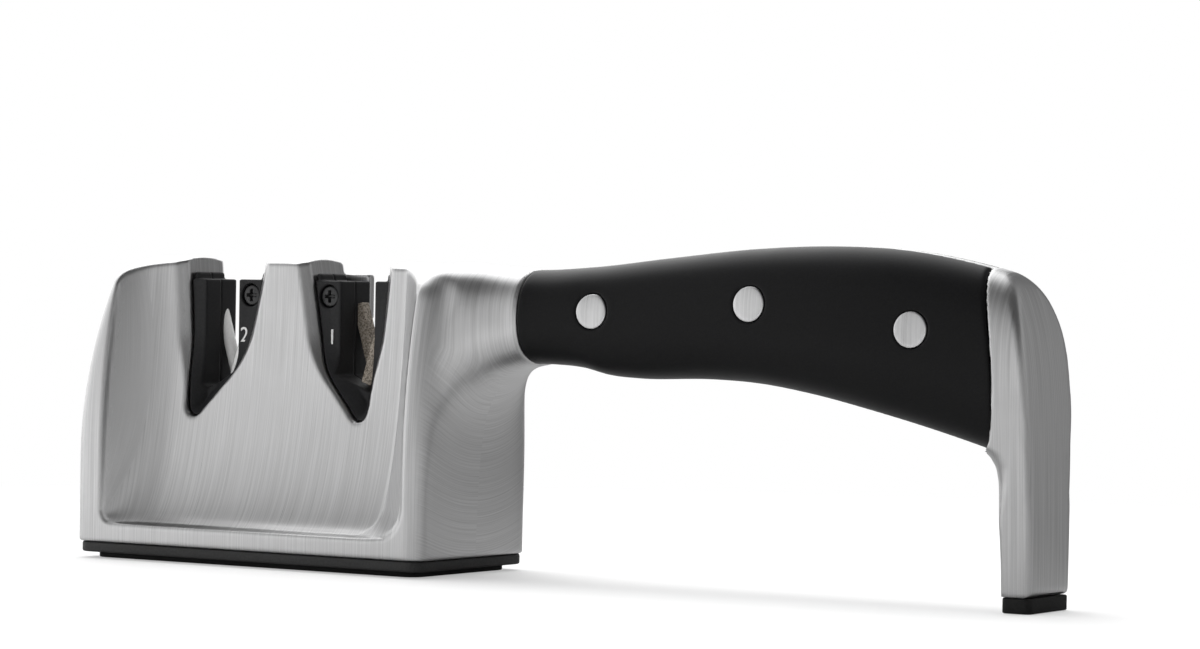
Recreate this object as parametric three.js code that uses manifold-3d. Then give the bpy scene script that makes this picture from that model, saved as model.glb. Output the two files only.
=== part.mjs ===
// A two-stage pull-through knife sharpener with a riveted handle and a steel leg, in millimetres.
// X runs along the handle from the block to the leg, Z is up and the table is z = 0. The object is
// the same at the front and at the back. Sizes along X are counted from the block's left end.
import * as THREE from 'three';
import { mergeVertices } from 'three/addons/utils/BufferGeometryUtils.js';
import Module from 'manifold-3d';

const wasm = await Module();
wasm.setup();

// Driving dimensions of the block
const blockLength = 105;
const blockWidth = 46;
const blockTop = 74.4;
const blockTopFall = 1.4;
const blockCorner = 4;
const crownRadius = 29;
const taperStart = 25;
const taperRadius = 174;

// The hollow scooped out of the front and of the back
const scoopLeft = 8.4;
const scoopRightMargin = 5.5;
const scoopSill = 8.7;
const scoopLeftRun = 15;
const scoopRightRun = 9.6;
const towerHalfDepth = 8.8;
const scoopRampBend = 2;
const scoopLeftBend = 1.6;
const scoopRightBend = 1.12;

// The two knife slots, counted from the middle tower's centre line and down from the block's top
const towerShift = 0.95;
const slotInnerTop = 5.2;
const slotInnerKnee = 11.8;
const slotKneeDepth = 25.9;
const slotKneeRoundUp = 7;
const slotKneeRoundDown = 5.3;
const slotTip = 24;
const slotTipDepth = 39.2;
const slotToeIn = 0.6;
const slotToeDrop = 0.4;
const slotOuterFoot = 27.8;
const slotOuterFootRise = 3.3;
const slotOuterTop = 31.4;
const slotMouthRise = 5.6;
const slotBevelTop = 2;
const slotBevelLow = 0.3;
const slotBevelFromRise = 6.8;
const slotBevelToRise = 21.8;

// The cartridges that sit in the slots
const cartridgeDrop = 5.4;
const cartridgeSetBack = 0.8;
const cartridgeLip = 2.6;
const wideCheek = 10.4;
const narrowCheek = 2.1;
const gapSillInnerDrop = 2.1;
const gapSillOuterRise = 7;
const gapToe = 1;
const abrasiveTilt = THREE.MathUtils.degToRad(17);
const abrasiveBottomRise = 2.2;
const crossRise = 3.9;
const innerAbrasiveDrop = 5.5;
const fineInnerDrop = 8.5;
const fineInnerSetBack = 2.3;
const outerAbrasiveDrop = 6.7;
const abrasiveWall = 0.84;
const abrasiveLayer = 2.5;
const rodDiameter = 3;
const barWidth = 3;
const barThickness = 3;
const cartridgeScrewDrop = 3.8;
const cartridgeScrewHead = 5;
const cartridgeScrewHeadDepth = 2;
const cartridgeScrewShank = 2.6;
const cartridgeScrewShortfall = 0.5;
const counterboreDepth = 2.4;
const crossRecessLength = 3;
const crossRecessWidth = 0.8;
const crossRecessDepth = 1;
const earThickness = 2.2;
const earReach = 15;
const earHeight = 11;

// Neck, handle, tang and rivets; a rivet is placed by its share of the grip and its rise over the middle
const neckLength = 18.8;
const gripLength = 132.2;
const handleDepth = 23;
const handleThickness = 24.4;
const handleRoundness = 2.35;
const tangThickness = 3.6;
const buttLength = 9.6;
const scaleRearDrop = 26;
const scaleRearRadius = 78;
const scaleRearTurn = THREE.MathUtils.degToRad(35);
const rivetDiameter = 8;
const rivets = [[0.152, 2], [0.471, 2.75], [0.781, 2.5]];

// Leg and foot
const legFootThickness = 7.5;
const legFootWidth = 19.4;
const legTopWidth = 23.6;
const legCorner = 1.6;
const legShoulder = 7;
const legJoinDrop = 14;
const legSink = 8;
const footCapHeight = 3.3;
const footCapInset = 0.35;
const footStemDiameter = 4.4;
const footStemLength = 8;

// Underside
const padThickness = 1.3;
const padInset = 3;
const plateThickness = 2.5;
const plateInset = 0.6;
const cavityWall = 4.5;
const cavityTopWall = 3.4;
const cavityFloor = 7.2;
const bossDiameter = 8;
const bossInsetX = 15;
const bossOffsetY = 8.5;
const baseScrewShank = 3;
const baseScrewHead = 6;
const baseScrewHeadDepth = 1.4;
const baseScrewLength = 14;
const baseScrewSpare = 2;

// Clearances
const fitGap = 0.3;
const seatGap = 0.1;
const pinGap = 0.2;
const overcut = 1;

// Places that follow from the sizes
const roundSegments = 28;
const smallHoleSegments = 16;
const curveSteps = 6;
const halfWidth = blockWidth / 2;
const plateBottom = padThickness + seatGap;
const plateTop = plateBottom + plateThickness;
const blockBottom = plateTop + seatGap;
const scoopRight = blockLength - scoopRightMargin;
const towerCentre = (scoopLeft + scoopRight) / 2 - towerShift;
const slotMouthHeight = blockTop + slotMouthRise;
const slotKneeHeight = blockTop - slotKneeDepth;
const slotTipHeight = blockTop - slotTipDepth;
const slotOuterFootHeight = slotTipHeight + slotOuterFootRise;
const innerSlope = (slotInnerKnee - slotInnerTop) / (slotMouthHeight - slotKneeHeight);
const outerSlope = (slotOuterTop - slotOuterFoot) / (slotMouthHeight - slotOuterFootHeight);
const slotInnerAt = (z) => slotInnerTop + innerSlope * (slotMouthHeight - z);
const slotOuterAt = (z) => slotOuterTop - outerSlope * (slotMouthHeight - z);
const cartridgeTop = blockTop - cartridgeDrop;
const cartridgeBack = towerHalfDepth - slotBevelTop - cartridgeSetBack;
const gapInner = slotInnerTop + wideCheek;
const gapOuter = slotOuterFoot - narrowCheek;
const gapSillInner = slotKneeHeight - gapSillInnerDrop;
const gapSillOuter = slotTipHeight + gapSillOuterRise;
const abrasiveBottom = gapSillOuter + abrasiveBottomRise;
const crossHeight = abrasiveBottom + crossRise;
const innerAbrasiveTop = cartridgeTop - innerAbrasiveDrop;
const fineInnerTop = cartridgeTop - fineInnerDrop;
const outerAbrasiveTop = cartridgeTop - outerAbrasiveDrop;
const abrasiveWidest = Math.max(rodDiameter, barWidth);
const crossOffset = slotOuterAt(outerAbrasiveTop) - abrasiveWall - abrasiveWidest / Math.cos(abrasiveTilt)
  - (outerAbrasiveTop - crossHeight) * Math.tan(abrasiveTilt);
const cartridgeScrewHeight = cartridgeTop - cartridgeScrewDrop;
const cartridgeScrewOffset = (slotInnerAt(cartridgeScrewHeight) + gapInner) / 2;
const earFront = cartridgeBack + fitGap;
const bolster = blockLength + neckLength;
const legOuter = bolster + gripLength;
const neckTop = blockTop - blockTopFall;
const handleUnder = neckTop - handleDepth;
const scaleRearReach = legOuter - buttLength;
const scaleRearHeight = neckTop - scaleRearDrop;
const legJoin = handleUnder - legJoinDrop;
const legTopHeight = handleUnder + legSink;
const ceiling = 2 * blockTop;

function toSolid(geometry) {
  const bare = geometry.index ? geometry.toNonIndexed() : geometry.clone();
  bare.deleteAttribute('normal');
  bare.deleteAttribute('uv');
  const merged = mergeVertices(bare, 1e-5);
  return new wasm.Manifold(new wasm.Mesh({
    numProp: 3,
    vertProperties: new Float32Array(merged.attributes.position.array),
    triVerts: new Uint32Array(merged.index.array),
  }));
}

function toGeometry(solid) {
  const mesh = solid.getMesh();
  const geometry = new THREE.BufferGeometry();
  geometry.setAttribute('position', new THREE.BufferAttribute(new Float32Array(mesh.vertProperties), 3));
  geometry.setIndex(new THREE.BufferAttribute(new Uint32Array(mesh.triVerts), 1));
  return geometry;
}

// Walls between neighbouring rings of points, as triangles.
function ringWalls(rings) {
  const count = rings[0].length;
  const index = [];
  for (let r = 0; r + 1 < rings.length; r += 1) {
    for (let i = 0; i < count; i += 1) {
      const a = r * count + i;
      const b = r * count + ((i + 1) % count);
      index.push(a, b, b + count, a, b + count, a + count);
    }
  }
  return index;
}

// A closed skin as a solid, turned inside out where its faces point in.
function skinSolid(points, index) {
  const geometry = new THREE.BufferGeometry().setFromPoints(points);
  geometry.setIndex(index);
  const solid = toSolid(geometry);
  if (solid.volume() > 0) return solid;
  geometry.setIndex(index.map((_, k) => index[k - 2 * (k % 3) + 2]));
  return toSolid(geometry);
}

// A solid over rings of points, each ring turning the same way, with a fan over both ends.
function loft(rings) {
  const count = rings[0].length;
  const points = rings.flat();
  const index = ringWalls(rings);
  const centre = (ring) => ring.reduce((sum, p) => sum.add(p), new THREE.Vector3()).divideScalar(count);
  const first = points.push(centre(rings[0])) - 1;
  const last = points.push(centre(rings.at(-1))) - 1;
  const lastRing = (rings.length - 1) * count;
  for (let i = 0; i < count; i += 1) {
    const next = (i + 1) % count;
    index.push(first, next, i);
    index.push(last, lastRing + i, lastRing + next);
  }
  return skinSolid(points, index);
}

// Like loft, for rings made of a near line and a far line with the same number of points.
function gridSolid(rings) {
  const count = rings[0].length;
  const index = ringWalls(rings);
  const lastRing = (rings.length - 1) * count;
  for (let i = 0; i + 1 < count / 2; i += 1) {
    const far = count - 1 - i;
    index.push(far, far - 1, i, i, far - 1, i + 1);
    index.push(lastRing + i, lastRing + far - 1, lastRing + far);
    index.push(lastRing + i, lastRing + i + 1, lastRing + far - 1);
  }
  return skinSolid(rings.flat(), index);
}

function box(x0, x1, y0, y1, z0, z1) {
  const geometry = new THREE.BoxGeometry(x1 - x0, y1 - y0, z1 - z0);
  geometry.translate((x0 + x1) / 2, (y0 + y1) / 2, (z0 + z1) / 2);
  return toSolid(geometry);
}

// A round bar along Y or Z.
function barAlongY(x, z, diameter, y0, y1, segments = roundSegments) {
  const geometry = new THREE.CylinderGeometry(diameter / 2, diameter / 2, y1 - y0, segments);
  geometry.translate(x, (y0 + y1) / 2, z);
  return toSolid(geometry);
}

function barAlongZ(x, y, diameter, z0, z1, segments = roundSegments) {
  const geometry = new THREE.CylinderGeometry(diameter / 2, diameter / 2, z1 - z0, segments);
  geometry.rotateX(Math.PI / 2);
  geometry.translate(x, y, (z0 + z1) / 2);
  return toSolid(geometry);
}

// An outline in X and Z, pushed through from y0 to y1.
function slab(outline, y0, y1) {
  const shape = outline instanceof THREE.Shape ? outline : new THREE.Shape(outline);
  const geometry = new THREE.ExtrudeGeometry(shape,
    { depth: y1 - y0, bevelEnabled: false, curveSegments: curveSteps });
  geometry.rotateX(Math.PI / 2);
  geometry.translate(0, y1, 0);
  return toSolid(geometry);
}

function roundedRectangle(x0, x1, half, radius) {
  const shape = new THREE.Shape();
  shape.moveTo(x0 + radius, -half);
  shape.lineTo(x1 - radius, -half);
  shape.absarc(x1 - radius, -half + radius, radius, -Math.PI / 2, 0);
  shape.lineTo(x1, half - radius);
  shape.absarc(x1 - radius, half - radius, radius, 0, Math.PI / 2);
  shape.lineTo(x0 + radius, half);
  shape.absarc(x0 + radius, half - radius, radius, Math.PI / 2, Math.PI);
  shape.lineTo(x0, -half + radius);
  shape.absarc(x0 + radius, -half + radius, radius, Math.PI, 1.5 * Math.PI);
  return shape;
}

function plate(shape, z0, z1) {
  const geometry = new THREE.ExtrudeGeometry(shape,
    { depth: z1 - z0, bevelEnabled: false, curveSegments: curveSteps });
  geometry.translate(0, 0, z0);
  return toSolid(geometry);
}

// Reads a smooth line through [place, value] pairs.
function smoothLine(pairs) {
  const curve = new THREE.CatmullRomCurve3(
    pairs.map(([at, value]) => new THREE.Vector3(at, value, 0)), false, 'centripetal');
  const samples = curve.getPoints(pairs.length * 16);
  return (at) => {
    const next = samples.findIndex((p) => p.x >= at);
    if (next === -1) return samples.at(-1).y;
    if (next === 0) return samples[0].y;
    const a = samples[next - 1];
    const b = samples[next];
    return a.y + (b.y - a.y) * (at - a.x) / (b.x - a.x);
  };
}

// How far the block's ends and sides have drawn in at a height.
function taper(z) {
  const rise = Math.max(z - taperStart, 0);
  return taperRadius - Math.sqrt(taperRadius ** 2 - rise ** 2);
}

const sideHalfWidth = (z) => halfWidth - taper(z);

function blockSolid() {
  const heights = [0, 0.18, 0.34, 0.5, 0.64, 0.78, 0.9, 1].map(
    (u) => taperStart + u * (blockTop + overcut - taperStart));
  const rings = [blockBottom, ...heights].map((z) => {
    const shape = roundedRectangle(taper(z), blockLength, sideHalfWidth(z), blockCorner);
    return shape.getPoints(curveSteps).slice(0, -1).map((p) => new THREE.Vector3(p.x, p.y, z));
  });
  const steps = 20;
  const reach = halfWidth + overcut;
  const crown = [-overcut, towerCentre, blockLength + overcut].map((x) => {
    const top = blockTop - blockTopFall * Math.max(x - towerCentre, 0) / (blockLength - towerCentre);
    const ring = [];
    for (let i = 0; i <= steps; i += 1) {
      const y = reach * (2 * i / steps - 1);
      ring.push(new THREE.Vector3(x, y, top - y * y / (2 * crownRadius)));
    }
    ring.push(new THREE.Vector3(x, reach, 0), new THREE.Vector3(x, -reach, 0));
    return ring;
  });
  return loft(rings).intersect(loft(crown));
}

// A quarter round that starts steeply at 0 and runs out flat at 1.
const quarterRound = (u, bend) => (1 - (1 - u) ** bend) ** (1 / bend);

function scoopHalfDepth(x, z) {
  const fromLeft = THREE.MathUtils.clamp((x - scoopLeft) / scoopLeftRun, 0, 1);
  const fromRight = THREE.MathUtils.clamp((scoopRight - x) / scoopRightRun, 0, 1);
  const climb = THREE.MathUtils.clamp((z - scoopSill) / (blockTop - scoopSill), 0, 1);
  const centre = halfWidth - (halfWidth - towerHalfDepth) * quarterRound(climb, scoopRampBend);
  const hollow = sideHalfWidth(z) - Math.min(centre, sideHalfWidth(z));
  const ends = quarterRound(fromLeft, scoopLeftBend) * quarterRound(fromRight, scoopRightBend);
  return sideHalfWidth(z) - hollow * ends;
}

// What the front scoop takes away: one skin that follows the hollow and one far in front of it.
function scoopCutter(side) {
  const left = [0, 0.02, 0.07, 0.16, 0.3, 0.48, 0.7, 1].map((u) => scoopLeft + u * scoopLeftRun);
  const right = [1, 0.66, 0.38, 0.18, 0.06, 0].map((u) => scoopRight - u * scoopRightRun);
  const middle = [0.2, 0.4, 0.6, 0.8].map((u) => THREE.MathUtils.lerp(left.at(-1), right[0], u));
  const xs = [...left, ...middle, ...right];
  const zs = [0, 0.01, 0.035, 0.08, 0.15, 0.24, 0.36, 0.5, 0.66, 0.82, 1].map(
    (u) => scoopSill + u * (blockTop - scoopSill));
  zs.push(blockTop + 2 * overcut);
  const far = halfWidth + 2 * overcut;
  const rings = zs.map((z) => {
    const near = xs.map((x) => new THREE.Vector3(x, side * scoopHalfDepth(x, z), z));
    const away = [...xs].reverse().map((x) => new THREE.Vector3(x, side * far, z));
    return [...near, ...away];
  });
  return gridSolid(rings);
}

// The slot's outline; hand is -1 for the fine slot and 1 for the coarse one, inset shrinks it.
function slotOutline(hand, inset, top) {
  const shape = new THREE.Shape();
  const at = (u, z) => [towerCentre + hand * u, z];
  const knee = new THREE.Vector2(slotInnerKnee + inset, slotKneeHeight + inset / 2);
  const tip = new THREE.Vector2(slotTip, slotTipHeight + inset);
  const kneeTop = slotKneeHeight + slotKneeRoundUp;
  const kneeFoot = knee.clone().lerp(tip, slotKneeRoundDown / knee.distanceTo(tip));
  shape.moveTo(...at(slotInnerAt(top) + inset, top));
  shape.lineTo(...at(slotInnerAt(kneeTop) + inset, kneeTop));
  shape.quadraticCurveTo(...at(knee.x, knee.y), ...at(kneeFoot.x, kneeFoot.y));
  shape.lineTo(...at(tip.x, tip.y));
  const toe = Math.min(slotOuterFoot - slotToeIn - inset / 2, slotOuterFoot - inset);
  shape.quadraticCurveTo(...at(toe, slotTipHeight - slotToeDrop + inset),
    ...at(slotOuterFoot - inset, slotOuterFootHeight));
  shape.lineTo(...at(slotOuterAt(top) - inset, top));
  shape.closePath();
  return shape;
}

// How far the bevel along a slot's front and back edges cuts in at a height.
function slotBevel(z) {
  const rise = z - slotTipHeight;
  const climb = THREE.MathUtils.smoothstep(rise, slotBevelFromRise, slotBevelToRise);
  return THREE.MathUtils.lerp(slotBevelLow, slotBevelTop, climb);
}

function slotCutter(hand) {
  const inner = slotOutline(hand, 0, slotMouthHeight).getPoints(curveSteps);
  const outer = slotOutline(hand, -slotBevelTop, slotMouthHeight).getPoints(curveSteps);
  const ring = (side, out) => inner.map((p, i) => {
    const bevel = slotBevel(p.y);
    const share = out * bevel / slotBevelTop;
    const place = p.clone().lerp(outer[i], share);
    const depth = scoopHalfDepth(p.x, p.y) - bevel * (1 - out);
    return new THREE.Vector3(place.x, side * depth, place.y);
  });
  const away = (side) => ring(side, 1).map((p) => new THREE.Vector3(p.x, side * blockWidth, p.z));
  return loft([away(-1), ring(-1, 1), ring(-1, 0), ring(1, 0), ring(1, 1), away(1)]);
}

// Places along the neck and along the grip, by their share of each.
const neckAt = (u) => blockLength + u * neckLength;
const gripAt = (u) => bolster + u * gripLength;

// Handle lines: top, bottom and half width along X, and the block's end flowing into the neck.
const handleTop = smoothLine([
  ...[[-0.8, 0.2], [0.27, 0]].map(([u, rise]) => [neckAt(u), neckTop + rise]),
  ...[[0, -0.6], [0.12, 0.3], [0.27, 2.5], [0.455, 4.9], [0.6, 5.6], [0.73, 4.9], [0.88, 1.6], [1.03, -4]].map(
    ([u, rise]) => [gripAt(u), neckTop + rise]),
]);
const handleBottom = smoothLine([
  ...[[-0.106, 0.12], [0, 0.4], [0.08, 0.64], [0.213, 0.81], [0.4, 0.904], [0.64, 0.964], [0.904, 0.994]].map(
    ([u, share]) => [neckAt(u), handleUnder * share]),
  ...[[0.055, 0], [0.1, -0.5], [0.153, -2], [0.213, -2.6], [0.365, -2.3], [0.455, -2.9], [0.56, -4.9],
    [0.682, -8.3], [0.803, -12.2], [0.88, -15], [0.955, -18]].map(
    ([u, rise]) => [gripAt(u), handleUnder + rise]),
]);
const handleHalfWidth = smoothLine([
  ...[[-0.106, 0.722], [0.053, 0.537], [0.266, 0.333], [0.585, 0.111]].map(
    ([u, share]) => [neckAt(u), THREE.MathUtils.lerp(handleThickness / 2, halfWidth, share)]),
  ...[[0, 1], [0.12, 0.934], [0.31, 0.934], [0.5, 0.984], [0.65, 1.008], [0.82, 0.984], [1, 0.951]].map(
    ([u, share]) => [gripAt(u), share * handleThickness / 2]),
]);
const handlePower = smoothLine([[neckAt(-0.053), 4], [neckAt(0.37), 3], [bolster, handleRoundness],
  [gripAt(1), handleRoundness]]);

function ovalRing(x) {
  const top = handleTop(x);
  const bottom = handleBottom(x);
  const wide = handleHalfWidth(x);
  const middle = (top + bottom) / 2;
  const tall = (top - bottom) / 2;
  const power = 2 / handlePower(x);
  const round = (value) => Math.sign(value) * Math.abs(value) ** power;
  const ring = [];
  for (let i = 0; i < roundSegments; i += 1) {
    const turn = 2 * Math.PI * i / roundSegments;
    ring.push(new THREE.Vector3(x, wide * round(Math.cos(turn)), middle + tall * round(Math.sin(turn))));
  }
  return ring;
}

const neckStations = [-0.106, -0.03, 0.08, 0.213, 0.372, 0.53, 0.69, 0.85, 1].map(neckAt);
const gripStations = [0, 0.047, 0.092, 0.138, 0.183, 0.244, 0.32, 0.41, 0.5, 0.592, 0.682, 0.758, 0.834,
  0.894, 0.955, 1.015].map(gripAt);

// The outer edge of the leg and butt in side view, from the foot up, then the inner edge and the width.
const legOuterHeights = [0, 0.192, 0.356, 0.521, 0.658, 0.767, 0.863, 0.959, 1.041].map((u) => u * neckTop);
const legOuterDrops = [0, 0, 0.3, 0.9, 1.7, 2.9, 4.7, 8, 13];
const legOuterLine = smoothLine(legOuterHeights.map((z, i) => [z, legOuter - legOuterDrops[i]]));
const legInnerDrop = smoothLine([[0, 0], [0.278, 0.2], [0.5, 0.6], [0.694, 1.3], [0.806, 2.2], [0.889, 3.6],
  [0.958, 6.5], [1, 11], [1.667, 14]].map(([u, drop]) => [u * legJoin, drop]));
const legHalfWidth = smoothLine([[0, 0], [0.344, 0.238], [0.603, 0.619], [1, 1]].map(
  ([u, share]) => [u * legTopHeight, THREE.MathUtils.lerp(legFootWidth, legTopWidth, share) / 2]));

function legSolid() {
  const low = [0.306, 0.5, 0.667, 0.778, 0.861, 0.93, 1].map((u) => u * legJoin);
  const high = [0.18, 0.45, 1].map((u) => THREE.MathUtils.lerp(legJoin, legTopHeight, u));
  const rings = [footCapHeight + seatGap, ...low, ...high].map((z) => {
    const inner = legOuter - legFootThickness - legInnerDrop(z);
    const swell = THREE.MathUtils.smoothstep(z, legJoin / 2, legJoin);
    const corner = THREE.MathUtils.lerp(legCorner, legShoulder, swell);
    const outer = legOuterLine(z) + corner - legCorner;
    const shape = roundedRectangle(inner, outer, legHalfWidth(z), corner);
    return shape.getPoints(curveSteps / 2).slice(0, -1).map((p) => new THREE.Vector3(p.x, p.y, z));
  });
  return loft(rings);
}

// Everything behind the butt's outer face, to trim the handle to it.
function buttTrim() {
  const outline = legOuterHeights.map((z) => new THREE.Vector2(legOuterLine(z), z));
  const last = outline.at(-1);
  outline.push(new THREE.Vector2(last.x - buttLength, ceiling));
  outline.push(new THREE.Vector2(blockLength, ceiling), new THREE.Vector2(blockLength, 0));
  return slab(outline, -halfWidth, halfWidth);
}

// The stretch of the handle that the scales fill, from the bolster to the arc at the butt.
function scaleSpan(grow) {
  const outline = new THREE.Shape();
  const centre = scaleRearReach - scaleRearRadius;
  const radius = scaleRearRadius + grow;
  const reach = radius * Math.sin(scaleRearTurn);
  outline.moveTo(bolster - grow, scaleRearHeight - reach);
  outline.lineTo(centre + radius * Math.cos(scaleRearTurn), scaleRearHeight - reach);
  outline.absarc(centre, scaleRearHeight, radius, -scaleRearTurn, scaleRearTurn);
  outline.lineTo(bolster - grow, scaleRearHeight + reach);
  outline.closePath();
  return slab(outline, -halfWidth, halfWidth);
}

const gripSolid = loft(gripStations.map((x) => ovalRing(x))).intersect(buttTrim());

function bossPlaces() {
  const xs = [bossInsetX, blockLength - bossInsetX];
  return xs.flatMap((x) => [[x, -bossOffsetY], [x, bossOffsetY]]);
}

function cavitySolid() {
  const cavityTop = slotTipHeight - cavityFloor;
  const highHalf = scoopHalfDepth(towerCentre, cavityTop) - cavityTopWall;
  const ring = (z, half) => {
    const shape = roundedRectangle(cavityWall, blockLength - cavityWall, half, blockCorner);
    return shape.getPoints(curveSteps).slice(0, -1).map((p) => new THREE.Vector3(p.x, p.y, z));
  };
  let cavity = loft([ring(blockBottom - overcut, halfWidth - cavityWall), ring(cavityTop, highHalf)]);
  bossPlaces().forEach(([x, y]) => {
    cavity = cavity.subtract(barAlongZ(x, y, bossDiameter, blockBottom, cavityTop + overcut));
  });
  return cavity;
}

const screwPlace = (hand) => towerCentre + hand * cartridgeScrewOffset;
const rivetPlaces = rivets.map(([u, rise]) => {
  const x = gripAt(u);
  return [x, (handleTop(x) + handleBottom(x)) / 2 + rise];
});

// The casting's ear behind the wide cheek, which takes the cartridge screw.
function earBlock(hand) {
  const near = towerCentre + hand * (slotInnerTop - slotBevelTop);
  const far = towerCentre + hand * earReach;
  const low = cartridgeScrewHeight - earHeight / 2;
  return box(Math.min(near, far), Math.max(near, far), earFront, earFront + earThickness, low, low + earHeight);
}

function bodySolid() {
  let body = blockSolid().subtract(scoopCutter(-1)).subtract(scoopCutter(1));
  body = body.subtract(slotCutter(-1)).subtract(slotCutter(1));
  body = body.add(loft(neckStations.map((x) => ovalRing(x))));
  [-1, 1].forEach((hand) => {
    const hole = barAlongY(screwPlace(hand), cartridgeScrewHeight,
      cartridgeScrewShank + 2 * pinGap, 0, halfWidth);
    body = body.add(earBlock(hand).subtract(hole));
  });
  const half = tangThickness / 2;
  const tang = gripSolid.intersect(box(bolster - overcut, scaleRearReach + overcut, -half, half, 0, ceiling));
  const under = gripStations.map((x) => new THREE.Vector2(x, handleBottom(x) - fitGap));
  under.push(new THREE.Vector2(gripStations.at(-1), ceiling), new THREE.Vector2(bolster, ceiling));
  const scaleRoom = slab(under, -halfWidth, halfWidth).intersect(scaleSpan(fitGap));
  const butt = gripSolid.add(legSolid().intersect(buttTrim())).subtract(scaleRoom);
  body = body.add(tang).add(butt);
  rivetPlaces.forEach(([x, z]) => {
    body = body.subtract(barAlongY(x, z, rivetDiameter + 2 * pinGap, -halfWidth, halfWidth));
  });
  body = body.subtract(cavitySolid());
  bossPlaces().forEach(([x, y]) => {
    const top = plateBottom + baseScrewLength + baseScrewSpare;
    body = body.subtract(barAlongZ(x, y, baseScrewShank + 2 * pinGap, 0, top));
  });
  const stemX = legOuter - legFootThickness / 2;
  const stemTop = footCapHeight + footStemLength + fitGap;
  return body.subtract(barAlongZ(stemX, 0, footStemDiameter + 2 * pinGap, 0, stemTop));
}

function scaleSolid(side) {
  const near = side * (tangThickness / 2 + seatGap);
  const far = side * halfWidth;
  const half = box(bolster, legOuter, Math.min(near, far), Math.max(near, far), 0, ceiling);
  let scale = gripSolid.intersect(scaleSpan(0)).intersect(half);
  rivetPlaces.forEach(([x, z]) => {
    scale = scale.subtract(barAlongY(x, z, rivetDiameter + 2 * pinGap, -halfWidth, halfWidth));
  });
  return scale;
}

function rivetSolid([x, z]) {
  return barAlongY(x, z, rivetDiameter, -halfWidth, halfWidth).intersect(gripSolid);
}

// Each crossing piece leans towards +X going up where lean is 1. The inner one leans towards the middle
// tower, the outer one into the narrow cheek. The fine stage's inner rod is short and set back.
const isInner = (hand, lean) => lean === -hand;
const isFineInner = (hand, lean) => hand < 0 && isInner(hand, lean);
function abrasiveTop(hand, lean) {
  if (isFineInner(hand, lean)) return fineInnerTop;
  return isInner(hand, lean) ? innerAbrasiveTop : outerAbrasiveTop;
}
const abrasiveLength = (hand, lean) => (abrasiveTop(hand, lean) - abrasiveBottom) / Math.cos(abrasiveTilt);
const layerOf = (lean) => -lean * abrasiveLayer;

// Leans an upright piece of the cross and sets its inner face on the crossing point.
function placeAbrasive(geometry, hand, lean, width, layer) {
  const toFace = lean * (width / 2) / Math.cos(abrasiveTilt);
  const middle = (abrasiveTop(hand, lean) + abrasiveBottom) / 2;
  const drift = Math.tan(lean * abrasiveTilt) * (middle - crossHeight);
  geometry.rotateY(lean * abrasiveTilt);
  const crossing = crossOffset - (isFineInner(hand, lean) ? fineInnerSetBack : 0);
  geometry.translate(towerCentre + hand * crossing + toFace + drift, layer, middle);
  return toSolid(geometry);
}

function rodSolid(hand, lean) {
  const radius = rodDiameter / 2;
  const geometry = new THREE.CylinderGeometry(radius, radius, abrasiveLength(hand, lean), roundSegments);
  geometry.rotateX(Math.PI / 2);
  return placeAbrasive(geometry, hand, lean, rodDiameter, layerOf(lean));
}

function gritBarSolid(hand, lean) {
  const geometry = new THREE.BoxGeometry(barWidth, barThickness, abrasiveLength(hand, lean));
  return placeAbrasive(geometry, hand, lean, barWidth, layerOf(lean));
}

// The room that an abrasive takes in the holder, open to the joint between the halves.
function abrasivePocket(hand, lean, width, thickness) {
  const deep = abrasiveLayer + thickness / 2 + pinGap;
  const geometry = new THREE.BoxGeometry(width + 2 * pinGap, deep, abrasiveLength(hand, lean) + 2 * pinGap);
  return placeAbrasive(geometry, hand, lean, width, Math.sign(layerOf(lean)) * deep / 2);
}

// A holder half's face is dished: its rim comes out to just inside the casting's surface, but stays flat
// where the rear half passes the ear.
function holderBlank(hand, side) {
  const rim = slotOutline(hand, fitGap, cartridgeTop).getPoints(curveSteps);
  const face = slotOutline(hand, fitGap + cartridgeLip, cartridgeTop).getPoints(curveSteps);
  const earFoot = slotKneeHeight + slotKneeRoundUp / 2;
  const rimDepth = (p) => {
    if (side > 0 && p.y > earFoot) return cartridgeBack;
    return Math.max(cartridgeBack, scoopHalfDepth(p.x, p.y) - slotBevel(p.y) - cartridgeSetBack);
  };
  return loft([
    rim.map((p) => new THREE.Vector3(p.x, side * seatGap / 2, p.y)),
    rim.map((p) => new THREE.Vector3(p.x, side * rimDepth(p), p.y)),
    face.map((p) => new THREE.Vector3(p.x, side * cartridgeBack, p.y)),
  ]);
}

function holderHalf(hand, side, width, thickness) {
  const at = (u, z) => new THREE.Vector2(towerCentre + hand * u, z);
  const gap = [
    at(gapInner, cartridgeTop + overcut),
    at(gapInner, gapSillInner),
    at(gapOuter - gapToe, gapSillOuter),
    at(gapOuter, gapSillOuter + gapToe),
    at(gapOuter, cartridgeTop + overcut),
  ];
  let half = holderBlank(hand, side).subtract(slab(gap, -blockWidth, blockWidth));
  const x = screwPlace(hand);
  const z = cartridgeScrewHeight;
  half = half.subtract(barAlongY(x, z, cartridgeScrewShank + 2 * pinGap, -halfWidth, halfWidth,
    smallHoleSegments));
  if (side < 0) {
    half = half.subtract(barAlongY(x, z, cartridgeScrewHead + 2 * fitGap,
      -halfWidth, -cartridgeBack + counterboreDepth));
  }
  return half.subtract(abrasivePocket(hand, -side, width, thickness));
}

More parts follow.
